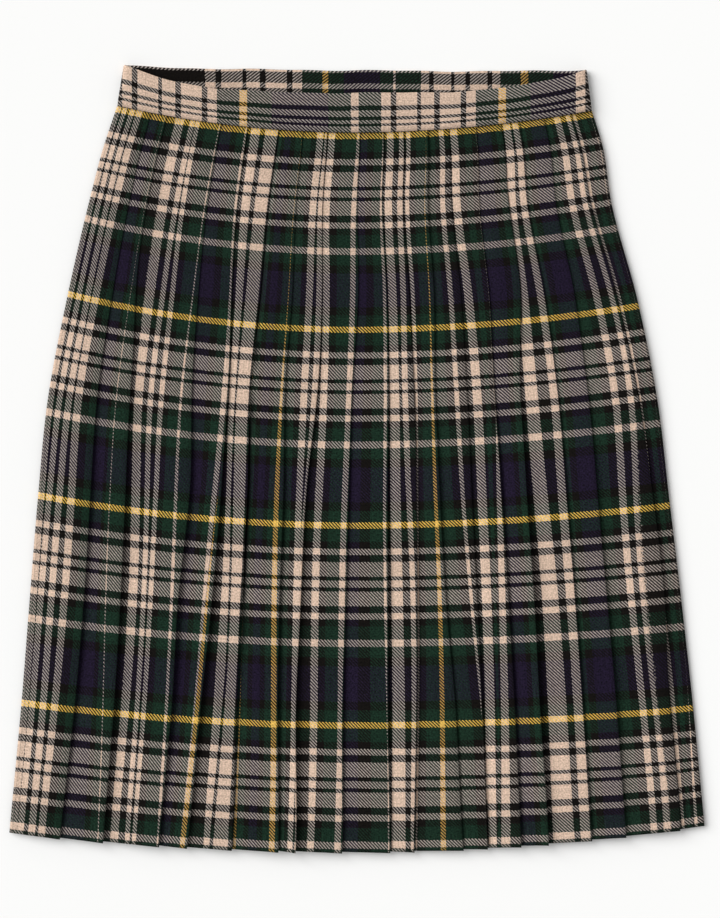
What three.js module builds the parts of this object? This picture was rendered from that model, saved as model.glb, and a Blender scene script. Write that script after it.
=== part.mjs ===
// A knee-length knife-pleated tartan skirt laid flat on its back, front up.
// Millimetres, +Z up from the surface it lies on, the waist towards +Y.
// Three cut pieces: a pleated front panel, a pleated back panel and one waistband strip
// that runs round the waist. The panels meet at the two side folds.

import * as THREE from 'three';

// Cloth, and how tightly its layers lie on each other
const clothThickness = 1.0;
const layerGap = 0.4;
const layerPitch = clothThickness + layerGap;
const foldRadius = layerPitch / 2;
const seamGap = 0.3;

// Overall length, and the waist seam and side corners of the front panel
const skirtLength = 612.4;
const hemCentreY = -skirtLength / 2;
const frontSeamY = 253.4;
const frontLength = frontSeamY - hemCentreY;

// The back panel is cut level, so its top and hem run nearly straight across
const backLength = { left: 564, right: 557 };

// The waistband strip, folded double over a stiffener
const bandThickness = 2.4;
const bandTopZ = 8.5;
const bandFrontTopY = 284.4;
const bandTopRise = { left: 21.8, right: 18.6, power: 3.5 };
const bandBackSag = 2;
const bandTopEnds = { left: -181.9, right: 178.6 };

// The outline: half widths to the left and right of the middle, from the waist seam to the hem
const sideLine = [
  { y: 276, left: 186.6, right: 181.2 },
  { y: 241, left: 198.3, right: 191.7 },
  { y: 202, left: 208.5, right: 197.5 },
  { y: 124, left: 226.4, right: 218.2 },
  { y: 46, left: 241.2, right: 233.8 },
  { y: -32, left: 249.0, right: 243.2 },
  { y: -110, left: 255.3, right: 252.5 },
  { y: -188, left: 261.5, right: 261.1 },
  { y: -286, left: 271.0, right: 271.0 },
];

// How much higher the cloth's cross lines run at the sides than in the middle of the front
const smile = [
  { down: 0, left: 21.1, right: 17.2 },
  { down: 0.28, left: 28.1, right: 18.7 },
  { down: 0.55, left: 23.4, right: 15.6 },
  { down: 0.83, left: 17.2, right: 13.3 },
  { down: 1, left: 14.8, right: 20.3 },
];
const smilePower = 1.9;

// Raised fold edges from left to right, as shares of the width at four heights
const foldEdges = [
  { waist: 0.057, hip: 0.058, middle: 0.081, hem: 0.076 },
  { waist: 0.111, hip: 0.116, middle: 0.138, hem: 0.137 },
  { waist: 0.227, hip: 0.229, middle: 0.239, hem: 0.219 },
  { waist: 0.281, hip: 0.276, middle: 0.291, hem: 0.261 },
  { waist: 0.313, hip: 0.314, middle: 0.330, hem: 0.320 },
  { waist: 0.394, hip: 0.394, middle: 0.389, hem: 0.385 },
  { waist: 0.446, hip: 0.448, middle: 0.434, hem: 0.414 },
  { waist: 0.508, hip: 0.509, middle: 0.493, hem: 0.480 },
  { waist: 0.560, hip: 0.562, middle: 0.555, hem: 0.547 },
  { waist: 0.602, hip: 0.600, middle: 0.600, hem: 0.584 },
  { waist: 0.651, hip: 0.643, middle: 0.636, hem: 0.648 },
  { waist: 0.695, hip: 0.690, middle: 0.687, hem: 0.686 },
  { waist: 0.762, hip: 0.760, middle: 0.734, hem: 0.723 },
  { waist: 0.808, hip: 0.800, middle: 0.777, hem: 0.776 },
  { waist: 0.842, hip: 0.840, middle: 0.838, hem: 0.836 },
  { waist: 0.893, hip: 0.889, middle: 0.886, hem: 0.885 },
  { waist: 0.952, hip: 0.960, middle: 0.962, hem: 0.965 },
];
const foldHeights = { waist: 0, hip: 0.22, middle: 0.49, hem: 0.93 };

// Hidden depth of a pleat: a share of its width past the strip where its face climbs
const climbWidth = 6;
const sideRoom = 6;
const depthShare = { waist: 0.95, hem: 0.6 };
const deepestPleat = 24;

// Section heights down a panel, as shares of its length, and points round a curl
const rows = [0, 0.07, 0.16, 0.27, 0.41, 0.58, 0.78, 1];
const foldSteps = 3;
const sideSteps = 3;

// Levels of the cloth's middle: the back panel's outer faces lie on the surface
const backLevels = {
  outer: clothThickness / 2,
  middle: clothThickness / 2 + layerPitch,
  inner: clothThickness / 2 + 2 * layerPitch,
  side: clothThickness / 2,
};
const panelGap = 0.5;
const frontInner = backLevels.inner + clothThickness + panelGap;
const frontLevels = {
  outer: frontInner + 2 * layerPitch,
  middle: frontInner + layerPitch,
  inner: frontInner,
  side: frontInner,
};
const sideCentreZ = (frontLevels.side + backLevels.side) / 2;
const sideLead = 0.3;
const curlRadius = (frontLevels.side - backLevels.side - seamGap) / 2 - sideLead;

function mix(from, to, share) {
  return from + (to - from) * share;
}

// Straight-line reading of a table between its rows, held level past its ends
function read(table, key, column, at) {
  const rising = table[table.length - 1][key] > table[0][key];
  const past = (row) => (rising ? row[key] >= at : row[key] <= at);
  const next = table.findIndex(past);
  if (next === 0) return table[0][column];
  if (next === -1) return table[table.length - 1][column];
  const a = table[next - 1];
  const b = table[next];
  return mix(a[column], b[column], (at - a[key]) / (b[key] - a[key]));
}

function foldShare(fold, down) {
  const stops = Object.entries(foldHeights).map(([name, at]) => ({ down: at, share: fold[name] }));
  return read(stops, 'down', 'share', down);
}

function outline(y) {
  return { left: -read(sideLine, 'y', 'left', y), right: read(sideLine, 'y', 'right', y) };
}

// The front's cross lines sink in the middle of the width
function frontY(share, down) {
  const side = share < 0.5 ? 'left' : 'right';
  const rise = read(smile, 'down', side, down) * Math.abs(2 * share - 1) ** smilePower;
  return frontSeamY - frontLength * down + rise;
}

// The back's cross lines run straight from side to side
function backY(share, down) {
  const seamY = frontSeamY + mix(smile[0].left, smile[0].right, share);
  return seamY - mix(backLength.left, backLength.right, share) * down;
}

// Points on part of a circle, both ends included
function arc(centre, z, radius, fromAngle, toAngle, steps) {
  return Array.from({ length: steps + 1 }, (_, i) => {
    const angle = mix(fromAngle, toAngle, i / steps);
    return { across: centre + radius * Math.cos(angle), z: z + radius * Math.sin(angle) };
  });
}

// Hidden depth of each pleat for a row of fold edges, in millimetres from the first side
function pleatDepths(edges, down) {
  const share = mix(depthShare.waist, depthShare.hem, down);
  return edges.map((edge, i) => {
    const width = i === 0 ? edge - sideRoom : edge - edges[i - 1];
    return Math.min(deepestPleat, share * (width - climbWidth));
  });
}

// The cloth's edge at the first side: a short upright at the side seam, then a quarter turn
function sideCurl(levels) {
  const sign = Math.sign(levels.side - sideCentreZ);
  const upright = { across: clothThickness / 2, z: sideCentreZ + (sign * seamGap) / 2 };
  const turnZ = upright.z + sign * sideLead;
  const turnX = upright.across + curlRadius;
  return [upright, ...arc(turnX, turnZ, curlRadius, sign * Math.PI, (sign * Math.PI) / 2, sideSteps)];
}

// The middle line of the cloth across one row: a side curl, then for each pleat a face that
// climbs to the outer level, the raised fold, the return layer and the inner fold
function pleatLine(edges, depths, width, levels) {
  const half = clothThickness / 2;
  const curl = half + curlRadius;
  const foldCentre = (levels.outer + levels.middle) / 2;
  const innerCentre = (levels.inner + levels.middle) / 2;
  const turn = levels.outer > levels.inner ? 1 : -1;
  const up = (turn * Math.PI) / 2;
  const line = sideCurl(levels);
  edges.forEach((edge, i) => {
    const back = edge - depths[i];
    const climbStart = i === 0 ? curl + half : edges[i - 1] + seamGap;
    const climbFrom = i === 0 ? levels.side : levels.inner;
    line.push({ across: climbStart, z: climbFrom });
    line.push({ across: back - foldRadius, z: levels.outer });
    line.push(...arc(edge - half - foldRadius, foldCentre, foldRadius, up, -up, foldSteps));
    const inner = arc(back + half + foldRadius, innerCentre, foldRadius, up, 3 * up, foldSteps);
    line.push(...inner);
  });
  const last = edges[edges.length - 1];
  line.push({ across: last + seamGap, z: levels.inner });
  line.push({ across: mix(last, width - curl, 0.8), z: levels.side });
  const farSide = sideCurl(levels).reverse();
  line.push(...farSide.map(({ across, z }) => ({ across: width - across, z })));
  return line;
}

// Offsets the middle line to both sides by half the cloth's thickness
function wallSides(line) {
  return line.map((point, i) => {
    const before = line[Math.max(i - 1, 0)];
    const after = line[Math.min(i + 1, line.length - 1)];
    const inward = new THREE.Vector2(point.across - before.across, point.z - before.z).normalize();
    const onward = new THREE.Vector2(after.across - point.across, after.z - point.z).normalize();
    const along = inward.clone().add(onward).normalize();
    const spread = clothThickness / 2 / Math.max(along.dot(i === 0 ? onward : inward), 0.5);
    const normal = { across: -along.y * spread, z: along.x * spread };
    return [1, -1].map((sign) => ({
      across: point.across + sign * normal.across,
      z: point.z + sign * normal.z,
    }));
  });
}

function facedGeometry(points, faces) {
  const geometry = new THREE.BufferGeometry();
  geometry.setAttribute('position', new THREE.Float32BufferAttribute(points, 3));
  geometry.setIndex(faces);
  geometry.computeVertexNormals();
  return geometry;
}

// A closed wall from a grid of points: grid[row][step] holds its two sides
function wallGeometry(grid) {
  const steps = grid[0].length;
  const positions = grid.flat(2);
  const at = (row, step, side) => (row * steps + step) * 2 + side;
  const faces = [];
  const quad = (a, b, c, d) => faces.push(a, b, c, a, c, d);
  for (let row = 0; row < grid.length - 1; row += 1) {
    for (let step = 0; step < steps - 1; step += 1) {
      quad(at(row, step, 0), at(row + 1, step, 0), at(row + 1, step + 1, 0), at(row, step + 1, 0));
      quad(at(row, step, 1), at(row, step + 1, 1), at(row + 1, step + 1, 1), at(row + 1, step, 1));
    }
    const end = steps - 1;
    quad(at(row, 0, 0), at(row, 0, 1), at(row + 1, 0, 1), at(row + 1, 0, 0));
    quad(at(row, end, 0), at(row + 1, end, 0), at(row + 1, end, 1), at(row, end, 1));
  }
  const foot = grid.length - 1;
  for (let step = 0; step < steps - 1; step += 1) {
    quad(at(0, step, 0), at(0, step + 1, 0), at(0, step + 1, 1), at(0, step, 1));
    quad(at(foot, step, 0), at(foot, step, 1), at(foot, step + 1, 1), at(foot, step + 1, 0));
  }
  return facedGeometry(positions.flatMap((p) => [p.x, p.y, p.z]), faces);
}

// One pleated panel. The back is worked out as a front turned over, so its first side is
// the right one, and its raised folds point the other way across the skirt.
function panelGeometry(levels, lineY, turned) {
  const grid = rows.map((down) => {
    const middle = outline(lineY(0.5, down));
    const width = middle.right - middle.left;
    const edges = foldEdges.map((fold) => foldShare(fold, down) * width);
    const line = pleatLine(edges, pleatDepths(edges, down), width, levels);
    const sidesOut = wallSides(line).map((sides) => (turned ? sides.reverse() : sides));
    return sidesOut.map((sides) => sides.map(({ across, z }) => {
      const share = turned ? 1 - across / width : across / width;
      const y = lineY(share, down);
      const ends = outline(y);
      return { x: mix(ends.left, ends.right, share), y, z };
    }));
  });
  return wallGeometry(grid);
}

// A point on the waistband's face: up runs from the seam to the top fold, share runs across
function bandPoint(share, up, front) {
  const { left, right } = bandTopEnds;
  const side = share < 0.5 ? 'left' : 'right';
  const bow = Math.abs(2 * share - 1) ** bandTopRise.power;
  const seamY = front ? frontY(share, 0) : backY(share, 0);
  const seamEnds = outline(seamY);
  const frontTop = bandFrontTopY + bandTopRise[side] * bow;
  const backTop = bandFrontTopY + mix(bandTopRise.left, bandTopRise.right, share);
  const topY = front ? frontTop : backTop - bandBackSag * (1 - bow);
  return {
    x: mix(mix(seamEnds.left, seamEnds.right, share), mix(left, right, share), up),
    y: mix(seamY + seamGap, topY, up),
  };
}

// The waistband: a flat ring, front strip, side curl, back strip, side curl
function waistbandGeometry() {
  const half = bandThickness / 2;
  const radius = (bandTopZ - bandThickness) / 2;
  const width = bandTopEnds.right - bandTopEnds.left;
  const span = 30;
  const curlSteps = 6;
  const curl = half + radius;
  const stations = [];
  const addStrip = (front) => {
    const angle = front ? Math.PI / 2 : -Math.PI / 2;
    for (let i = 1; i < span; i += 1) {
      const along = front ? i / span : 1 - i / span;
      stations.push({ across: mix(curl, width - curl, along), front, angle });
    }
  };
  const addCurl = (centre, fromAngle) => {
    for (let i = 0; i <= curlSteps; i += 1) {
      const angle = fromAngle - (Math.PI * i) / curlSteps;
      const across = centre + radius * Math.cos(angle);
      stations.push({ across, front: Math.sin(angle) > 0, angle });
    }
  };
  addStrip(true);
  addCurl(width - curl, Math.PI / 2);
  addStrip(false);
  addCurl(curl, -Math.PI / 2);
  const profile = bandProfile(half);
  const points = stations.flatMap(({ across, front, angle }) => profile.flatMap(({ up, out }) => {
    const { x, y } = bandPoint(across / width, up, front);
    return [x + out * Math.cos(angle), y, curl + (radius + out) * Math.sin(angle)];
  }));
  const faces = [];
  const at = (s, p) => (s % stations.length) * profile.length + (p % profile.length);
  for (let s = 0; s < stations.length; s += 1) {
    for (let p = 0; p < profile.length; p += 1) {
      faces.push(at(s, p), at(s + 1, p + 1), at(s + 1, p), at(s, p), at(s, p + 1), at(s + 1, p + 1));
    }
  }
  return facedGeometry(points, faces);
}

// Cut through the strip: square at the seam, rounded over the fold along the top
function bandProfile(half) {
  const roundShare = 0.04;
  return [
    { up: 0, out: half },
    { up: 0, out: -half },
    { up: 1 - roundShare, out: -half },
    { up: 1, out: -half / 2 },
    { up: 1, out: half / 2 },
    { up: 1 - roundShare, out: half },
  ];
}

function cloth(name, color) {
  const material = new THREE.MeshStandardMaterial({ color, roughness: 0.9, metalness: 0 });
  material.name = name;
  return material;
}

const tartan = cloth('tartan_twill', '#5d6156');
const tartanBand = cloth('tartan_band_twill', '#85796c');

const skirt = new THREE.Group();
skirt.name = 'pleated_skirt';

function addPiece(name, geometry, material) {
  const piece = new THREE.Mesh(geometry, material);
  piece.name = name;
  skirt.add(piece);
}

addPiece('back_panel', panelGeometry(backLevels, backY, true), tartan);
addPiece('front_panel', panelGeometry(frontLevels, frontY, false), tartan);
addPiece('waistband', waistbandGeometry(), tartanBand);

export default skirt;
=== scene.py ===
# A knee-length knife-pleated tartan skirt, laid flat on its back with the front up.
# Two pleated panels and a waistband strip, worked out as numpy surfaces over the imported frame.
import bpy
import numpy as np
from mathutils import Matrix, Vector


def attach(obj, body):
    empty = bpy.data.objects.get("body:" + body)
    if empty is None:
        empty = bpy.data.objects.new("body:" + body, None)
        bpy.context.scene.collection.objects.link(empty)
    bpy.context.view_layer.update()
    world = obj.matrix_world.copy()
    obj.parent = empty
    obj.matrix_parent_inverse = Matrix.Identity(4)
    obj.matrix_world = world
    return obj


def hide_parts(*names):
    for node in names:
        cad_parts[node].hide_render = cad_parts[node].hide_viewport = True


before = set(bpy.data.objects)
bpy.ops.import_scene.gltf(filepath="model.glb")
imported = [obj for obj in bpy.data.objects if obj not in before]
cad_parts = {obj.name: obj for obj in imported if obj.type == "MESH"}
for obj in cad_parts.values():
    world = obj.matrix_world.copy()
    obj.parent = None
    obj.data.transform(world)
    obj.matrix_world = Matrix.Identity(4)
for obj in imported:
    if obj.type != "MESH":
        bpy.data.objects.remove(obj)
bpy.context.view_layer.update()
print("frame loaded:", ", ".join(sorted(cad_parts)))

mm = 0.001  # every size below is in millimetres, Blender's are in metres


# outline of the skirt; the places of its sides were measured by a program, at the heights in sideY
skirt = {
    "seamY": 253.4,          # waist seam at the middle of the front
    "frontLength": 559.6,
    "backLengthLeft": 564.0,
    "backLengthRight": 557.0,
    "sideY": (-290, -188, -110, -32, 46, 124, 202, 241, 276),
    "sideLeft": (271.0, 261.5, 255.3, 249.0, 241.2, 226.4, 208.5, 198.3, 186.6),
    "sideRight": (271.0, 261.1, 252.5, 243.2, 233.8, 218.2, 197.5, 191.7, 181.2),
    "smileDown": (0, 0.28, 0.55, 0.83, 1),
    "smileLeft": (21.1, 28.1, 23.4, 17.2, 14.8),
    "smileRight": (17.2, 18.7, 15.6, 13.3, 20.3),
    "smilePower": 1.9,
}


def smoothRead(at, places, values):
    # cubic through a table's points, with the slope at each point taken from its neighbours
    places, values = np.asarray(places, float), np.asarray(values, float)
    at = np.asarray(at, float)
    slopes = np.gradient(values, places, axis=0)
    i = np.clip(np.searchsorted(places, at) - 1, 0, len(places) - 2)
    spread = (1,) * (values.ndim - 1)
    span = (places[i + 1] - places[i]).reshape(at.shape + spread)
    u = ((at - places[i]) / (places[i + 1] - places[i])).reshape(at.shape + spread)
    start, end = values[i], values[i + 1]
    return (start + (end - start) * u * u * (3 - 2 * u)
            + slopes[i] * span * u * (1 - u) ** 2 - slopes[i + 1] * span * u * u * (1 - u))


def mix(a, b, share):
    return a + (b - a) * share


def easeIn(u):
    u = np.clip(u, 0, 1)
    return u * u * (3 - 2 * u)


def sideEnds(y):
    # half widths left and right of the middle line at a height y
    left = -smoothRead(y, skirt["sideY"], skirt["sideLeft"])
    return left, smoothRead(y, skirt["sideY"], skirt["sideRight"])


def frontY(share, down):
    # a cross line of the front: level in the middle, rising to both sides
    left = smoothRead(down, skirt["smileDown"], skirt["smileLeft"])
    right = smoothRead(down, skirt["smileDown"], skirt["smileRight"])
    rise = np.where(share < 0.5, left, right) * np.abs(2 * share - 1) ** skirt["smilePower"]
    return skirt["seamY"] - skirt["frontLength"] * down + rise


def backY(share, down):
    # a cross line of the back: straight from side to side
    top = skirt["seamY"] + mix(skirt["smileLeft"][0], skirt["smileRight"][0], share)
    return top - mix(skirt["backLengthLeft"], skirt["backLengthRight"], share) * down


# the cloth: one list of stripe widths for warp and weft, run there and back in every repeat
tartan = {
    "thread": 0.633,         # spacing of warp and weft threads, which the stripes are counted in
    "threadDrawn": 0.65,     # spacing the twill is drawn at, a little coarser, to show beside the pixels
    "halfSett": (            # threads from the middle of a pale block to the middle of the navy
        (4, "pale"), (5, "black"), (18, "pale"), (8, "black"), (8, "pale"), (8, "black"),
        (16, "green"), (8, "line"), (14, "green"), (10, "black"), (21, "navy"),
    ),
    "pale": "#C3AA97",
    "black": "#0C0907",
    "green": "#12261B",
    "navy": "#181123",
    "gold": "#C39C54",
    "goldWeft": "#F3C85C",   # the gold yarn lies closer in the weft
    "fuzz": 0.5,             # how far fibres carry a stripe's edge to and fro
    "shaded": 0.76,          # how far a light float on dark threads darkens toward its edges, where the dark threads under it show and painted shade falls between them
    "greyed": 0.55,          # how far such a float loses its colour
    "floatPower": 1.15,      # higher is a narrower light float
    "specklePale": 1.6,      # how much the fibres of the pale and of the darkest yarn vary in lightness
    "speckleDark": 3.5,
    "paleLight": 0.3,        # from this lightness up a yarn speckles as the pale one does
    "paleBlue": 0.2,         # from this much blue up a yarn is the pale one and not the gold
    "contrastGain": 2.5,     # how soon a float that is lighter than the yarn under it counts as light
    "toneThread": 0.2,       # how much single threads, and patches of cloth, vary in lightness
    "tonePatch": 0.3,
    "fibreScale": 750.0,
    "fibreDetail": 2.0,
    "patchScale": 26.0,
    "patchDetail": 3.0,
    "twillRepeat": 4.0,
    "floatThreads": 2.0,
    "fibreRelief": 0.6,      # the nap's share in the relief, beside the threads' roundness
    "reliefDepth": 0.12,
    "reliefStrength": 0.6,
    "roughness": 0.9,
    "specular": 0.08,
    "refraction": 1.5,
    "sheen": 0.02,
    "sheenRoughness": 0.5,
}
settWidth = 2 * tartan["thread"] * sum(count for count, _ in tartan["halfSett"])
# where each stripe of the warp lies, in mm from the middle of the pale block, and its width
stripes = {
    "middle": (0.0, 5.06),
    "wideRight": (11.4, 11.4), "wideLeft": (-11.4, 11.4),
    "outerRight": (24.7, 5.06), "outerLeft": (-24.7, 5.06),
    "goldLine": (44.9, 5.06), "paleLine": (-44.9, 5.06), "paleLine2": (107.0, 5.06),
    "greenTurn": (36.0, 0.0), "navyTurn": (68.0, 0.0),  # where the order of the stripes turns back
}


def linearColour(code):
    # sRGB hex to linear RGBA
    channels = np.array([int(code[i:i + 2], 16) / 255 for i in (1, 3, 5)])
    linear = np.where(channels <= 0.04045, channels / 12.92, ((channels + 0.055) / 1.055) ** 2.4)
    return (*linear.tolist(), 1.0)


def settBands(gold):
    # one whole repeat as (width, colour): the half from the pale block with the gold line, then back
    # through the navy with the pale line
    half = [(count * tartan["thread"], name) for count, name in tartan["halfSett"]]
    out = [(width, gold if name == "line" else name) for width, name in half]
    back = [(width, "pale" if name == "line" else name) for width, name in half]
    return out + back[::-1]


def addNode(tree, kind, links=None, **settings):
    # one node with its settings; links maps an input to a socket or a plain value
    node = tree.nodes.new(kind)
    for name, value in settings.items():
        setattr(node, name, value)
    for key, value in (links or {}).items():
        if isinstance(value, bpy.types.NodeSocket):
            tree.links.new(value, node.inputs[key])
        else:
            node.inputs[key].default_value = value
    return node


def bandRamp(tree, place, bands):
    # constant colour ramp over the bands, its factor the place along them divided by their whole width
    whole = sum(width for width, _ in bands)
    ramp = addNode(tree, "ShaderNodeValToRGB", {0: place})
    ramp.color_ramp.interpolation = "CONSTANT"
    edge = 0.0
    for i, (width, name) in enumerate(bands):
        stop = ramp.color_ramp.elements[i] if i < 2 else ramp.color_ramp.elements.new(1.0)
        stop.position = edge / whole
        stop.color = linearColour(tartan[name])
        edge += width
    return ramp.outputs["Color"]


def tartanTwill(name, warpBands, weftBands, threadWide):
    # woollen tartan, 2/2 twill, woven in the yarn's colours: matt, with a faint nap and fine slanting ribs
    material = bpy.data.materials.new(name)
    material.use_nodes = True
    tree = material.node_tree
    tree.nodes.clear()
    sett = addNode(tree, "ShaderNodeUVMap", uv_map="sett").outputs["UV"]
    threads = addNode(tree, "ShaderNodeUVMap", uv_map="threads").outputs["UV"]

    # nap: a fine noise that moves the stripes' edges, and speckles the threads
    fibres = addNode(tree, "ShaderNodeTexNoise", {
        "Vector": threads, "Scale": tartan["fibreScale"], "Detail": tartan["fibreDetail"],
    })
    patches = addNode(tree, "ShaderNodeTexNoise", {
        "Vector": threads, "Scale": tartan["patchScale"], "Detail": tartan["patchDetail"],
    })
    centred = addNode(tree, "ShaderNodeVectorMath", {0: fibres.outputs["Color"], 1: (0.5, 0.5, 0.5)},
                      operation="SUBTRACT")
    moved = addNode(tree, "ShaderNodeVectorMath", {0: centred.outputs[0], "Scale": 2 * tartan["fuzz"] * mm},
                    operation="SCALE")
    settMoved = addNode(tree, "ShaderNodeVectorMath", {0: sett, 1: moved.outputs[0]}, operation="ADD")

    # stripes of the warp along the first direction and of the weft along the second
    settXY = addNode(tree, "ShaderNodeSeparateXYZ", {0: settMoved.outputs[0]}).outputs
    colours = []
    for place, bands in ((settXY["X"], warpBands), (settXY["Y"], weftBands)):
        repeat = sum(width for width, _ in bands) * mm
        along = addNode(tree, "ShaderNodeMath", {0: place, 1: repeat}, operation="DIVIDE")
        along = addNode(tree, "ShaderNodeMath", {0: along.outputs[0]}, operation="FRACT")
        colours.append(bandRamp(tree, along.outputs[0], bands))
    warpColour, weftColour = colours

    # number of each thread, how light it is beside the next, and how round it stands
    threadXY = addNode(tree, "ShaderNodeSeparateXYZ", {0: threads}).outputs
    count, index, tone, roundness = [], [], [], []
    for place, spacing in ((threadXY["X"], threadWide), (threadXY["Y"], tartan["threadDrawn"])):
        number = addNode(tree, "ShaderNodeMath", {0: place, 1: spacing * mm}, operation="DIVIDE")
        whole = addNode(tree, "ShaderNodeMath", {0: number.outputs[0]}, operation="FLOOR")
        own = addNode(tree, "ShaderNodeTexWhiteNoise", {"W": whole.outputs[0]}, noise_dimensions="1D")
        turn = addNode(tree, "ShaderNodeMath", {0: number.outputs[0], 1: np.pi}, operation="MULTIPLY")
        wave = addNode(tree, "ShaderNodeMath", {0: turn.outputs[0]}, operation="SINE")
        bulge = addNode(tree, "ShaderNodeMath", {0: wave.outputs[0]}, operation="ABSOLUTE")
        count.append(number.outputs[0])
        index.append(whole.outputs[0])
        tone.append(own.outputs["Value"])
        roundness.append(bulge.outputs[0])

    # twill: the warp lies on top at two threads of every four, one further along in each row
    slant = addNode(tree, "ShaderNodeMath", {0: index[0], 1: index[1]}, operation="ADD")
    step = addNode(tree, "ShaderNodeMath", {0: slant.outputs[0], 1: tartan["twillRepeat"]},
                   operation="FLOORED_MODULO")
    isWarp = addNode(tree, "ShaderNodeMath", {0: step.outputs[0], 1: tartan["floatThreads"] - 0.5},
                     operation="LESS_THAN")
    warpOnTop = isWarp.outputs[0]
    upper = addNode(tree, "ShaderNodeMix", {0: warpOnTop, 6: weftColour, 7: warpColour}, data_type="RGBA")
    lower = addNode(tree, "ShaderNodeMix", {0: warpOnTop, 6: warpColour, 7: weftColour}, data_type="RGBA")
    top, under = upper.outputs[2], lower.outputs[2]
    raised = addNode(tree, "ShaderNodeMix", {0: warpOnTop, 2: roundness[1], 3: roundness[0]},
                     data_type="FLOAT")
    ownTone = addNode(tree, "ShaderNodeMix", {0: warpOnTop, 2: tone[1], 3: tone[0]}, data_type="FLOAT")

    # a light float over dark threads is brightest along its middle and sinks between them at its edges; there
    # it is darkened partly by the dark threads under it and partly by painted shade
    floatTurn = np.pi / tartan["floatThreads"]
    floatMiddle = (tartan["floatThreads"] + 1) / 2
    across = addNode(tree, "ShaderNodeMath", {0: count[0], 1: count[1]}, operation="ADD")
    across = addNode(tree, "ShaderNodeMath",
                     {0: across.outputs[0], 1: floatTurn, 2: -floatMiddle * floatTurn},
                     operation="MULTIPLY_ADD")
    across = addNode(tree, "ShaderNodeMath", {0: across.outputs[0]}, operation="COSINE")
    across = addNode(tree, "ShaderNodeMath", {0: across.outputs[0]}, operation="ABSOLUTE")
    across = addNode(tree, "ShaderNodeMath", {0: across.outputs[0], 1: tartan["floatPower"]},
                     operation="POWER")
    across = addNode(tree, "ShaderNodeMath", {0: across.outputs[0], 1: raised.outputs[0]},
                     operation="MULTIPLY")
    sunk = addNode(tree, "ShaderNodeMath", {0: across.outputs[0], 1: -1.0, 2: 1.0}, operation="MULTIPLY_ADD")
    topLight = addNode(tree, "ShaderNodeRGBToBW", {0: top})
    underLight = addNode(tree, "ShaderNodeRGBToBW", {0: under})
    excess = addNode(tree, "ShaderNodeMath", {0: topLight.outputs[0], 1: underLight.outputs[0]},
                     operation="SUBTRACT", use_clamp=True)
    contrast = addNode(tree, "ShaderNodeMath", {0: excess.outputs[0], 1: tartan["contrastGain"]},
                       operation="MULTIPLY", use_clamp=True)
    # painted shade where the float sinks between the threads, together with the dark threads under it showing
    # there
    edgeShowThroughAndShade = addNode(tree, "ShaderNodeMath", {0: contrast.outputs[0], 1: sunk.outputs[0]}, operation="MULTIPLY")
    edgeShowThroughAndShade = addNode(tree, "ShaderNodeMath", {0: edgeShowThroughAndShade.outputs[0], 1: -tartan["shaded"], 2: 1.0},
                   operation="MULTIPLY_ADD")
    shades = [edgeShowThroughAndShade.outputs[0]]
    speckle = addNode(tree, "ShaderNodeMapRange", {
        "Value": topLight.outputs[0], "From Min": 0.0, "From Max": tartan["paleLight"],
        "To Min": tartan["speckleDark"], "To Max": tartan["specklePale"],
    })
    for source, amount in ((ownTone.outputs[0], tartan["toneThread"]),
                           (fibres.outputs["Fac"], speckle.outputs[0]),
                           (patches.outputs["Fac"], tartan["tonePatch"])):
        uneven = addNode(tree, "ShaderNodeMath", {0: source, 1: 0.5}, operation="SUBTRACT")
        shade = addNode(tree, "ShaderNodeMath", {0: uneven.outputs[0], 1: amount, 2: 1.0},
                        operation="MULTIPLY_ADD")
        both = addNode(tree, "ShaderNodeMath", {0: shades[-1], 1: shade.outputs[0]}, operation="MULTIPLY")
        shades.append(both.outputs[0])
    # the dark fibres caught in it make such a float greyer too, unless it is gold, which has little blue
    blue = addNode(tree, "ShaderNodeSeparateXYZ", {0: top}).outputs["Z"]
    isPale = addNode(tree, "ShaderNodeMath", {0: blue, 1: tartan["paleBlue"]}, operation="GREATER_THAN")
    greyShare = addNode(tree, "ShaderNodeMath", {0: contrast.outputs[0], 1: isPale.outputs[0]},
                        operation="MULTIPLY")
    greyShare = addNode(tree, "ShaderNodeMath", {0: greyShare.outputs[0], 1: tartan["greyed"]},
                        operation="MULTIPLY")
    greyed = addNode(tree, "ShaderNodeMix", {0: greyShare.outputs[0], 6: top, 7: topLight.outputs[0]},
                     data_type="RGBA")
    colour = addNode(tree, "ShaderNodeVectorMath", {0: greyed.outputs[2], "Scale": shades[-1]},
                     operation="SCALE")

    height = addNode(tree, "ShaderNodeMath",
                     {0: fibres.outputs["Fac"], 1: tartan["fibreRelief"], 2: raised.outputs[0]},
                     operation="MULTIPLY_ADD")
    bump = addNode(tree, "ShaderNodeBump", {
        "Height": height.outputs[0], "Distance": tartan["reliefDepth"] * mm,
        "Strength": tartan["reliefStrength"],
    })
    shader = addNode(tree, "ShaderNodeBsdfPrincipled", {
        "Base Color": colour.outputs[0], "Normal": bump.outputs["Normal"],
        "Roughness": tartan["roughness"], "Specular IOR Level": tartan["specular"],
        "IOR": tartan["refraction"], "Sheen Weight": tartan["sheen"],
        "Sheen Roughness": tartan["sheenRoughness"],
    })
    addNode(tree, "ShaderNodeOutputMaterial", {"Surface": shader.outputs[0]})
    return material


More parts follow.
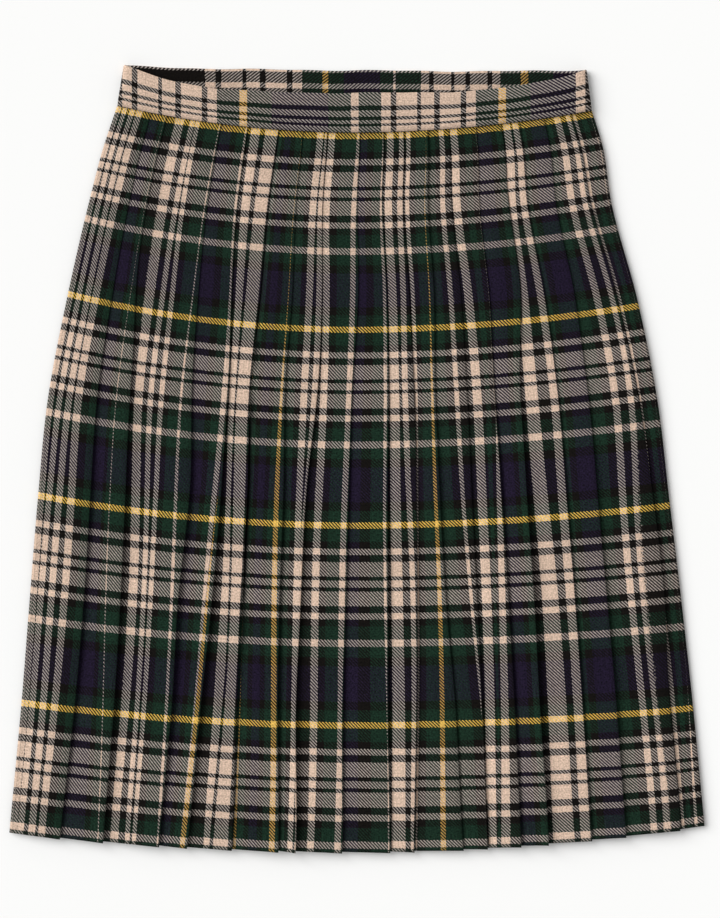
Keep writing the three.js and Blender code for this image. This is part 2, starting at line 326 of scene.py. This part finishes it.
def gridPiece(name, points, sett, threads, material, closed=False):
    # a sheet from points[row, column, xyz] with two UV maps given at the same points; closed joins
    # the rows and the columns end to end, as on a ring with a closed section
    rows, columns = points.shape[:2]
    r = np.arange(rows if closed else rows - 1)[:, None]
    c = np.arange(columns if closed else columns - 1)[None, :]
    r2, c2 = (r + 1) % rows, (c + 1) % columns
    quads = np.stack([r * columns + c, r2 * columns + c, r2 * columns + c2, r * columns + c2], axis=-1)
    quads = quads.reshape(-1, 4)
    mesh = bpy.data.meshes.new(name)
    mesh.from_pydata((points.reshape(-1, 3) * mm).tolist(), [], quads.tolist())
    for layerName, places in (("sett", sett), ("threads", threads)):
        layer = mesh.uv_layers.new(name=layerName)
        layer.data.foreach_set("uv", (places.reshape(-1, 2)[quads.ravel()] * mm).ravel())
    mesh.shade_smooth()
    mesh.materials.append(material)
    mesh.validate()
    piece = bpy.data.objects.new(name, mesh)
    bpy.context.scene.collection.objects.link(piece)
    return piece


panels = {
    "rows": 112,
    "tuckUp": 0.011,         # how far the top runs up under the waistband, as a share of the length
    "faceSteps": 8,
    "foldPoints": 4,
    "thickness": 0.6,
    "pitchWaist": 0.62,      # from one layer to the next, pressed hard at the waist, looser at the hem
    "pitchHem": 1.35,
    "depthShare": 0.58,      # hidden depth of a pleat, as a share of its width
    "deepest": 21.0,
    "sideCurl": 2.1,
    "backOuter": 0.35,       # middle of the cloth on the underside
    "frontInner": 4.75,
    "hemStep": 1.0,          # how much lower the hem hangs at a raised fold than under it
    "leastStripe": 0.03,     # a stripe that a fold hides is squeezed to this width
    "curlPoints": 5,         # points in the quarter turn at each side
    "leastClimb": 0.15,      # the least share of a face's width in which it climbs
    "liftPower": 1.6,        # how late across a face its lift comes
    "returnLift": 0.33,      # how much of that lift the layer under it has
    "hemFrom": 0.7,          # share of the length where the hem's steps start to grow
    "waveIn": 0.25,          # share of the length in which the waves grow to their full height
    # height of each wave in mm, radians to the mm across and up, and where it starts
    "waves": ((0.35, 0.021, 0.013, 1.1), (0.25, 0.047, -0.031, 0.0)),
    "weftDown": (-0.19, 0.0857, 0.3538, 0.6281, 0.9067, 1.19),  # middles of the pale weft blocks
    "edgeDown": (0, 0.22, 0.35, 0.49, 0.67, 0.80, 0.93),
    "barDown": (0.09, 0.355, 0.63, 0.91),
    # from left to right: where the raised fold edge runs (thousandths of the width) and how far it
    # stands up (mm), at the heights in edgeDown; the tartan's place (mm from the middle of the pale
    # block) where the face starts and at its fold; and the warp stripes on it, each with its width at
    # the waist and at the hem and where its middle runs at the heights in barDown. The table was
    # printed by a program from measured places, then thinned and adjusted
    "pleats": (
        {"edge": (76, 78, 80, 83, 84, 81, 76),
         "lift": (0, 0, 1, 2, 2.5, 2, 1.5), "starts": -24, "ends": 37, "bars": (
             ("wideLeft", (8.6, 10.0), (6, 5, 6, 6)),
             ("middle", (8.6, 8.6), (19, 20, 17, 16)),
             ("wideRight", (10.7, 10.0), (36, 36, 34, 33)),
             ("outerRight", (14.3, 10.7), (51, 50, 54, 48)),
         )},
        {"edge": (111, 116, 132, 138, 140, 139, 137),
         "lift": (0, 0, 1, 2, 2.5, 2.5, 2.5), "starts": 64, "ends": 116, "bars": (
             ("paleLine2", (0.3, 0.3, 1.0), (109, 112, 116, 126)),
         )},
        {"edge": (227, 229, 234, 241, 228, 225, 219),
         "lift": (0, 0, 1, 2.5, 4, 4, 2.5), "starts": 4.6, "ends": -50, "bars": (
             ("middle", (14.3, 9.3), (145, 149, 160, 154)),
             ("wideLeft", (9.3, 5.7), (169, 169, 176, 172)),
             ("outerLeft", (10.0, 6.4), (181, 187, 187, 182)),
             ("paleLine", (1.2, 1.5, 4.5, 4, 3), (224, 219, 219, 216)),
         )},
        {"edge": (283, 288, 295, 291, 279, 268, 261),
         "lift": (0, 0, 1, 2.5, 3.5, 3.5, 2), "starts": 76, "ends": 38, "bars": (
             ("paleLine2", (9.3, 9.3, 8, 3, 0), (284, 290, 270, 252)),
             ("goldLine", (0, 0, 0, 6, 8), (290, 297, 275, 256)),
         )},
        {"edge": (347, 339, 331, 332, 324, 321, 321),
         "lift": (0, 0, 0.8, 1.6, 2.2, 1.2, 1), "starts": -19, "ends": 4, "bars": (
             ("wideLeft", (18.6, 12, 7, 14, 8), (300, 302, 300, 287)),
             ("middle", (26, 22, 18, 14, 20), (330, 320, 317, 306)),
         )},
        {"edge": (397, 395, 389, 389, 383, 382, 386),
         "lift": (0, 0, 0.8, 2, 3, 3.5, 2.5), "starts": 38, "ends": 40, "bars": (
             ("goldLine", (0, 0, 0, 0, 4.5), (340, 334, 328, 325)),
             ("navyTurn", (0, 0), (365, 358, 350, 350)),
             ("goldLine", (0, 1, 8, 8.6, 8.6), (394, 384, 376, 378)),
         )},
        {"edge": (446, 447, 443, 426, 415, 409, 412),
         "lift": (0, 0, 0.8, 2, 2.5, 3.5, 4), "starts": -41, "ends": -8, "bars": (
             ("outerLeft", (14.3, 7.9), (429, 420, 409, 405)),
             ("wideLeft", (10.0, 2.9), (444, 437, 416, 414)),
         )},
        {"edge": (513, 511, 500, 493, 484, 479, 479),
         "lift": (0, 0, 0.5, 1, 1, 1, 1), "starts": -19, "ends": -50, "bars": (
             ("outerLeft", (14.3, 9.3), (456, 454, 440, 436)),
             ("paleLine", (8.6, 8.6), (508, 495, 480, 474)),
         )},
        {"edge": (561, 561, 559, 554, 549, 546, 547),
         "lift": (0, 0, 0.8, 2, 2.5, 2, 1), "starts": -70, "ends": -41, "bars": (
             ("paleLine", (5.7, 2.9), (560, 554, 546, 546)),
         )},
        {"edge": (602, 600, 601, 600, 594, 589, 584),
         "lift": (0, 0, 0.3, 0.6, 0.8, 0.8, 0.8), "starts": 4, "ends": 29, "bars": (
             ("wideRight", (12.9, 20.0), (573, 569, 564, 560)),
             ("outerRight", (11.4, 6.4), (595, 586, 588, 581)),
         )},
        {"edge": (650, 644, 636, 636, 639, 646, 649),
         "lift": (1.5, 1, 0.8, 2, 1, 0.6, 0.6), "starts": 21, "ends": 56, "bars": (
             ("outerRight", (8.6, 2.1), (609, 604, 596, 587)),
             ("goldLine", (0, 2, 6, 7, 8), (643, 631, 629, 624)),
         )},
        {"edge": (694, 691, 688, 687, 686, 686, 686),
         "lift": (0, 0, 0.3, 0.6, 0.8, 0.8, 0.6), "starts": -41, "ends": -20, "bars": (
             ("outerLeft", (10.0, 2.1), (676, 670, 676, 692)),
         )},
        {"edge": (750, 742, 734, 735, 734, 734, 734),
         "lift": (0, 0, 0.6, 1.5, 2, 2, 2), "starts": 19, "ends": 19, "bars": (
             ("outerRight", (15.7, 15.0), (703, 704, 701, 694)),
             ("greenTurn", (0, 0), (730, 722, 714, 706)),
             ("outerRight", (4.3, 14.0), (754, 739, 726, 716)),
         )},
        {"edge": (802, 798, 777, 774, 773, 771, 773),
         "lift": (0, 0, 1.6, 4, 5, 5, 4), "starts": 72, "ends": 103, "bars": ()},
        {"edge": (841, 839, 838, 838, 837, 836, 836),
         "lift": (0, 0, 0.3, 0.6, 0.8, 0.8, 0.8), "starts": 4.1, "ends": 29, "bars": (
             ("wideRight", (14.3, 30.7), (810, 794, 798, 796)),
             ("outerRight", (12.9, 15.0), (831, 830, 829, 827)),
         )},
        {"edge": (893, 891, 887, 886, 885, 885, 885),
         "lift": (0.4, 0.6, 0.8, 1.4, 2, 2, 1.4), "starts": 51, "ends": 80, "bars": ()},
        {"edge": (953, 964, 966, 972, 973, 965, 965),
         "lift": (0, 0, 0.4, 1.2, 1.6, 0.8, 0.6), "starts": -41, "ends": -4.1, "bars": (
             ("outerLeft", (14.3, 10.0), (922, 930, 922, 925)),
             ("wideLeft", (8.6, 8.6, 8.6, 1, 3, 7.5), (946, 956, 938, 943)),
         )},
        {"edge": (1000, 1000, 1000, 1000, 1000, 1000, 1000),
         "lift": (0, 0, 0, 0, 0, 0, 0), "starts": 20, "ends": 19, "bars": (
             ("outerRight", (7, 7, 3, 2, 7, 4), (961, 971, 971, 969)),
             ("greenTurn", (0, 0), (978, 984, 986, 979)),
             ("outerRight", (5, 5, 1, 0, 0, 5), (996, 998, 999, 990)),
         )},
    ),
}


def halfTurn(centre, level, radius, fromAngle, toAngle, count):
    # points round half a circle, for every row at once
    angle = np.linspace(fromAngle, toAngle, count)[None, :]
    return centre[:, None] + radius[:, None] * np.cos(angle), level[:, None] + radius[:, None] * np.sin(angle)


def faceStripes(pleat, down, width, left, right):
    # places across one face, in mm, and the tartan's place at each: straight lines between the
    # stripes' edges, so that every stripe keeps its course; each stretch is split for the shape
    p = panels
    knots, places = [left], [pleat["starts"]]
    for name, widths, middles in pleat["bars"]:
        middle = smoothRead(down, p["barDown"], middles) / 1000 * width
        half = np.interp(down, np.linspace(0, 1, len(widths)), widths) / 1000 * width / 2
        centre, wide = stripes[name]
        onward = 1 if centre > places[-1] else -1
        knots += [middle - half, middle + half]
        places += [centre - onward * wide / 2, centre + onward * wide / 2]
    knots, places = np.stack(knots + [right], axis=1), np.array(places + [pleat["ends"]])
    least = p["leastStripe"] * np.arange(places.size)
    knots = np.clip(knots - least, left[:, None], right[:, None] - least[-1])
    knots = np.maximum.accumulate(knots, axis=1) + least
    knots[:, -1] = right
    steps = -(-p["faceSteps"] // (places.size - 1))
    fine = np.arange((places.size - 1) * steps + 1)
    i = np.minimum(fine // steps, places.size - 2)
    part = (fine - i * steps) / steps
    across = mix(knots[:, i], knots[:, i + 1], part)
    return across, np.broadcast_to(mix(places[i], places[i + 1], part), across.shape)


def pleatSections(down, width, lifted):
    # the middle line of the cloth across every row: for each pleat a face climbing to the outer
    # layer, the raised fold, the return layer under it and the inner fold. Gives the place across,
    # the height over the inner layer, the tartan's place and the count of threads, all in mm
    p = panels
    pitch = mix(p["pitchWaist"], p["pitchHem"], easeIn(down))
    radius = pitch / 2
    columns = np.array([pleat["edge"] for pleat in p["pleats"]]).T
    edge = smoothRead(down, p["edgeDown"], columns) / 1000 * width[:, None]
    lifts = smoothRead(down, p["edgeDown"], np.array([pleat["lift"] for pleat in p["pleats"]], float).T)
    lifts = np.clip(lifts, 0, None) * lifted
    quarter = np.pi / 2
    near = p["thickness"] / 2 + np.full_like(down, p["sideCurl"])
    far = width - near
    turn = np.linspace(0, quarter, p["curlPoints"])[None, :]
    curl = p["sideCurl"] * (1 - np.cos(turn)) + np.zeros((down.size, 1))
    across, level, sett, threads, drop = [], [], [], [], []

    def addPart(x, z, place, count, hang=0.0):
        across.append(x)
        for values, parts in ((z, level), (place, sett), (count, threads), (hang, drop)):
            parts.append(np.broadcast_to(values, x.shape))

    # left side: a quarter turn up from the side fold
    x = p["thickness"] / 2 + curl[:, :-1]
    addPart(x, 0 * x, p["pleats"][0]["starts"] - (near[:, None] - x), x)
    left = near
    last = len(p["pleats"]) - 1
    for i, pleat in enumerate(p["pleats"][:-1]):
        room = edge[:, i] - left
        depth = np.minimum(p["deepest"], p["depthShare"] * room)
        fold = edge[:, i] - radius
        climb = np.clip((room - depth - 2 * radius) / room, p["leastClimb"], 1)
        x, place = faceStripes(pleat, down, width, left, fold)
        u = np.clip((x - left[:, None]) / room[:, None], 0, 1)
        z = 2 * pitch[:, None] * easeIn(u / climb[:, None]) + lifts[:, [i]] * u ** p["liftPower"]
        addPart(x, z, place, x - edge[:, [i]], u ** 2)
        # round the fold, back under it and round the inner fold, out of sight
        foldX, foldZ = halfTurn(fold, 1.5 * pitch + lifts[:, i], radius, quarter, -quarter, p["foldPoints"])
        around = radius[:, None] * np.linspace(0, np.pi, p["foldPoints"])[None, 1:]
        addPart(foldX[:, 1:], foldZ[:, 1:], pleat["ends"], around, 1.0)
        back = edge[:, i] - depth + radius
        midway = mix(back, fold, 0.5)[:, None]
        underZ = pitch[:, None] + lifts[:, [i]] * p["returnLift"]
        addPart(midway, underZ, pleat["ends"], depth[:, None] / 2, 0.5)
        innerX, innerZ = halfTurn(back, 0.5 * pitch, radius, quarter, 3 * quarter, p["foldPoints"])
        addPart(innerX, innerZ, p["pleats"][i + 1]["starts"], depth[:, None] + innerX - back[:, None])
        left = edge[:, i]
    # last face out to the right side, and the quarter turn down
    x, place = faceStripes(p["pleats"][last], down, width, left, far)
    addPart(x, 0 * x, place, x - width[:, None])
    x = width[:, None] - p["thickness"] / 2 - curl[:, :-1][:, ::-1]
    addPart(x, 0 * x, p["pleats"][last]["ends"] + (x - far[:, None]), x - width[:, None])
    lists = (across, level, sett, threads, drop)
    across, level, sett, threads, drop = (np.concatenate(parts, axis=1) for parts in lists)
    # how far the side curls carry the cloth up from the side seam: 0 at the seam, 1 on the panel
    rise = np.ones_like(across)
    curled = np.sin(turn[:, :-1])
    rise[:, :curled.size] = curled
    rise[:, -curled.size:] = curled[:, ::-1]
    return across, level, sett, threads, drop, rise


def pleatedPanel(name, lineY, turned):
    # a panel over its rows of sections: the side folds come down to half the skirt's height, where
    # front and back meet, and the back is the same turned over, so it shows its folds below
    p = panels
    down = np.linspace(-p["tuckUp"], 1, p["rows"])
    left, right = sideEnds(lineY(0.5, down))
    width = right - left
    across, level, sett, threads, drop, rise = pleatSections(down, width, 0.0 if turned else 1.0)
    share = across / width[:, None]
    share = 1 - share if turned else share
    rowDown = np.broadcast_to(down[:, None], share.shape)
    y = lineY(share, rowDown) - p["hemStep"] * drop * easeIn((rowDown - p["hemFrom"]) / (1 - p["hemFrom"]))
    endLeft, endRight = sideEnds(y)
    x = mix(endLeft, endRight, share)
    pitch = mix(p["pitchWaist"], p["pitchHem"], easeIn(down))[:, None]
    sideZ = (p["frontInner"] + p["backOuter"]) / 2
    if turned:
        z = mix(sideZ, p["backOuter"] + 2 * pitch, rise) - level
    else:
        # a slow unevenness, as in cloth laid down by hand
        wave = sum(height * np.sin(turnX * x + turnY * y + start)
                   for height, turnX, turnY, start in p["waves"])
        z = mix(sideZ, p["frontInner"], rise) + level + wave * rise * easeIn(rowDown / p["waveIn"])
    points = np.stack([x, y, z], axis=-1)
    weft = smoothRead(rowDown, p["weftDown"], settWidth * (np.arange(len(p["weftDown"])) - 1))
    settPlace = np.stack([sett, -weft], axis=-1)
    threadPlace = np.stack([threads, -weft], axis=-1)
    order = slice(None, None, -1 if turned else 1)
    piece = gridPiece(name, points[:, order], settPlace[:, order], threadPlace[:, order], tartanCloth)
    shell = piece.modifiers.new("thickness", "SOLIDIFY")
    shell.thickness = p["thickness"] * mm
    shell.offset = 0
    lengths = np.linalg.norm(np.diff(points, axis=1), axis=2).sum(axis=1)
    print(name, "unfolded width", lengths.min().round(), "to", lengths.max().round(), "mm")
    return piece


band = {
    "thickness": 2.0,
    "topZ": 8.6,
    "frontTopY": 284.4,
    "topRiseLeft": 21.8,
    "topRiseRight": 18.6,
    "topPower": 3.5,
    "backSag": 2.0,
    "topLeft": -181.9,
    "topRight": 178.6,
    "seamGap": 0.2,
    "span": 110,             # steps along each side
    "curlSteps": 8,
    "facePoints": 9,
    "foldPoints": 7,         # points round the top fold, the two where it leaves the faces included
    "roundShare": 0.035,     # the top fold's share of the strip's height
    "pinch": 0.35,           # how much thinner the strip is at the seam, and how soon that fades upward
    "pinchReach": 0.05,
    "topWaves": ((0.35, 23, 1), (0.25, 51, 0)),  # height in mm, radians from end to end, and the start
    "tall": 30.7,            # cloth up one face, and how far on it is round the top fold
    "overFrom": 0.4,
    "overTo": 2.0,
    "overAll": 2.2,
    "threadWide": 0.78,      # threads along the strip drawn this coarse, to show beside the pixels
    "warpFrom": -190.0,      # where the list of warp stripes starts on the front
    # places across the inside of the back, and the places in that list that show there; toward the left end
    # they fall in the black at the end of the list and in the lead, painted shade where the front of the band
    # shades the inside
    "insideX": (-182, -118, -43.9, -25.2, 28, 28.6, 49.7, 110.6, 130, 178.6),
    "insidePlace": (-8, 7.3, 79.9, 100.4, 183.5, 191, 208.6, 281.2, 302.5, 350),
    "lead": ((7.3, "black"),),
    "block": ((6.2, "pale"), (5.1, "black"), (15.9, "pale"), (3.1, "black"), (10.5, "pale"),
              (3.6, "black"), (16.3, "pale"), (5.2, "black"), (6.7, "pale")),
    "sides": ((17.6, "green"), (5.9, "gold"), (19.9, "green"), (43.0, "navy"), (18.0, "green"),
              (5.9, "pale"), (18.4, "green")),
    "end": ((18.4, "green"), (5.8, "gold"), (18.0, "green"), (36.4, "navy"), (6.3, "pale"),
            (10.0, "black")),
    # the weft from the outer seam up over the top fold and down the inside; the wide black just inside the
    # top fold is partly the cloth's dark stripe and partly painted shade, where the front of the band shades
    # the inside
    "weft": ((4.6, "pale"), (2.2, "black"), (2.6, "pale"), (3.0, "black"), (4.8, "pale"), (3.8, "black"),
             (12.5, "pale"), (9.2, "black"), (4.5, "pale"), (3.2, "black"), (12.0, "green")),
}


def waistband():
    # a flat ring: front strip, side curl, back strip, side curl; its section is closed, with the
    # outer face from the seam up to the top fold, over it, and the inner face back down
    b = band
    half = b["thickness"] / 2
    radius = (b["topZ"] - b["thickness"]) / 2
    curl = half + radius
    width = b["topRight"] - b["topLeft"]
    strip = np.linspace(0, 1, b["span"] + 1)[1:-1]
    angles = np.pi * np.arange(b["curlSteps"] + 1) / b["curlSteps"]
    quarter = np.pi / 2
    across = np.concatenate([
        mix(curl, width - curl, strip),
        width - curl + radius * np.cos(quarter - angles),
        mix(curl, width - curl, strip[::-1]),
        curl + radius * np.cos(-quarter - angles),
    ])
    angle = np.concatenate([
        np.full(strip.size, quarter), quarter - angles,
        np.full(strip.size, -quarter), -quarter - angles,
    ])
    front = np.sin(angle) > 0
    share = (across / width)[:, None]

    # section: how far up from the seam, and how far out from the strip's middle
    up = np.linspace(0, 1, b["facePoints"])
    bend = np.linspace(0, np.pi, b["foldPoints"])[1:-1]
    straight = 1 - b["roundShare"]
    overTop = straight + b["roundShare"] * np.sin(bend)
    sectionUp = np.concatenate([up * straight, overTop, up[::-1] * straight])
    flat = half * (1 - b["pinch"] * np.exp(-up / b["pinchReach"]))
    sectionOut = np.concatenate([flat, half * np.cos(bend), -flat[::-1]])

    bow = np.abs(2 * share - 1) ** b["topPower"]
    seamY = np.where(front[:, None], frontY(share, 0.0), backY(share, 0.0))
    seamLeft, seamRight = sideEnds(seamY)
    rise = np.where(share < 0.5, b["topRiseLeft"], b["topRiseRight"])
    frontTop = b["frontTopY"] + rise * bow
    backTop = b["frontTopY"] + mix(b["topRiseLeft"], b["topRiseRight"], share) - b["backSag"] * (1 - bow)
    topY = np.where(front[:, None], frontTop, backTop)
    for height, turns, start in b["topWaves"]:
        topY = topY + height * np.sin(share * turns + start)
    y = mix(seamY + b["seamGap"], topY, sectionUp[None, :])
    x = mix(mix(seamLeft, seamRight, share), mix(b["topLeft"], b["topRight"], share), sectionUp[None, :])
    x = x + sectionOut[None, :] * np.cos(angle)[:, None]
    z = curl + (radius + sectionOut[None, :]) * np.sin(angle)[:, None]
    points = np.stack([x, y, z], axis=-1)

    # cloth coordinates: along the strip, and from the outer seam over the top fold to the inside
    tall = b["tall"]
    overFold = tall + np.linspace(b["overFrom"], b["overTo"], bend.size)
    travel = np.concatenate([up * tall, overFold, tall + b["overAll"] + (1 - up[::-1]) * tall])
    outer = np.arange(sectionUp.size) < b["facePoints"] + b["foldPoints"] // 2
    outerPlace = x - b["warpFrom"]
    innerPlace = np.interp(x, b["insideX"], b["insidePlace"])
    place = np.where(outer[None, :], outerPlace, innerPlace)
    travel = np.broadcast_to(travel[None, :], x.shape)
    order = slice(None, None, -1)
    settPlace = np.stack([place, travel], axis=-1)
    threadPlace = np.stack([x, travel], axis=-1)
    return gridPiece("waistbandStrip", points[:, order], settPlace[:, order], threadPlace[:, order],
                     bandCloth, closed=True)


tartanCloth = tartanTwill("woollenTartanTwill", settBands("gold"), settBands("goldWeft"),
                          tartan["threadDrawn"])
warpList = band["lead"] + band["block"] + band["sides"] + band["block"] + band["end"]
bandCloth = tartanTwill("woollenTartanTwillBand", warpList, band["weft"], band["threadWide"])
frontPanel = pleatedPanel("frontPanel", frontY, False)
backPanel = pleatedPanel("backPanel", backY, True)
waistStrip = waistband()
print("panels and waistband made")

for piece, node, slotName in (
    (frontPanel, "front_panel", "tartan_twill"),
    (backPanel, "back_panel", "tartan_twill"),
    (waistStrip, "waistband", "waistband_twill"),
):
    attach(piece, "root")
    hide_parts(node)


studio = {
    "floor": "#EAEAE9",
    "floorReach": 12.0,      # metres from the middle to each side
    "ambient": 0.52,
    "sunStrength": 3.2,
    "sunSpread": 50,         # degrees across
    "sunFrom": (-0.80, 0.35, 0.75),
    "sensor": 36.0,
    "cameraHeight": 2600.0,
    "viewTall": 716.0,       # what the picture's height spans at the floor
    "viewX": 2.1,
    "viewY": -0.4,
}


def lightAndCamera():
    s = studio
    scene = bpy.context.scene
    mesh = bpy.data.meshes.new("floor")
    reach = s["floorReach"]
    corners = [(-reach, -reach, 0), (reach, -reach, 0), (reach, reach, 0), (-reach, reach, 0)]
    mesh.from_pydata(corners, [], [(0, 1, 2, 3)])
    floor = bpy.data.objects.new("floor", mesh)
    scene.collection.objects.link(floor)
    paper = bpy.data.materials.new("mattPaper")
    paper.use_nodes = True
    shader = paper.node_tree.nodes["Principled BSDF"]
    shader.inputs["Base Color"].default_value = linearColour(s["floor"])
    shader.inputs["Roughness"].default_value = 1.0
    shader.inputs["Specular IOR Level"].default_value = 0.0
    mesh.materials.append(paper)

    world = bpy.data.worlds.new("studio")
    world.use_nodes = True
    background = world.node_tree.nodes["Background"]
    background.inputs["Color"].default_value = (1, 1, 1, 1)
    background.inputs["Strength"].default_value = s["ambient"]
    scene.world = world

    lamp = bpy.data.lights.new("windowLight", "SUN")
    lamp.energy = s["sunStrength"]
    lamp.angle = np.radians(s["sunSpread"])
    window = bpy.data.objects.new("windowLight", lamp)
    window.rotation_euler = Vector(s["sunFrom"]).to_track_quat("Z", "Y").to_euler()
    scene.collection.objects.link(window)

    lens = bpy.data.cameras.new("camera")
    lens.sensor_width = s["sensor"]
    lens.lens = s["sensor"] * s["cameraHeight"] / s["viewTall"]
    camera = bpy.data.objects.new("camera", lens)
    camera.location = (s["viewX"] * mm, s["viewY"] * mm, s["cameraHeight"] * mm)
    scene.collection.objects.link(camera)
    scene.camera = camera
    scene.view_settings.view_transform = "Standard"


lightAndCamera()
print("floor, light and camera set")
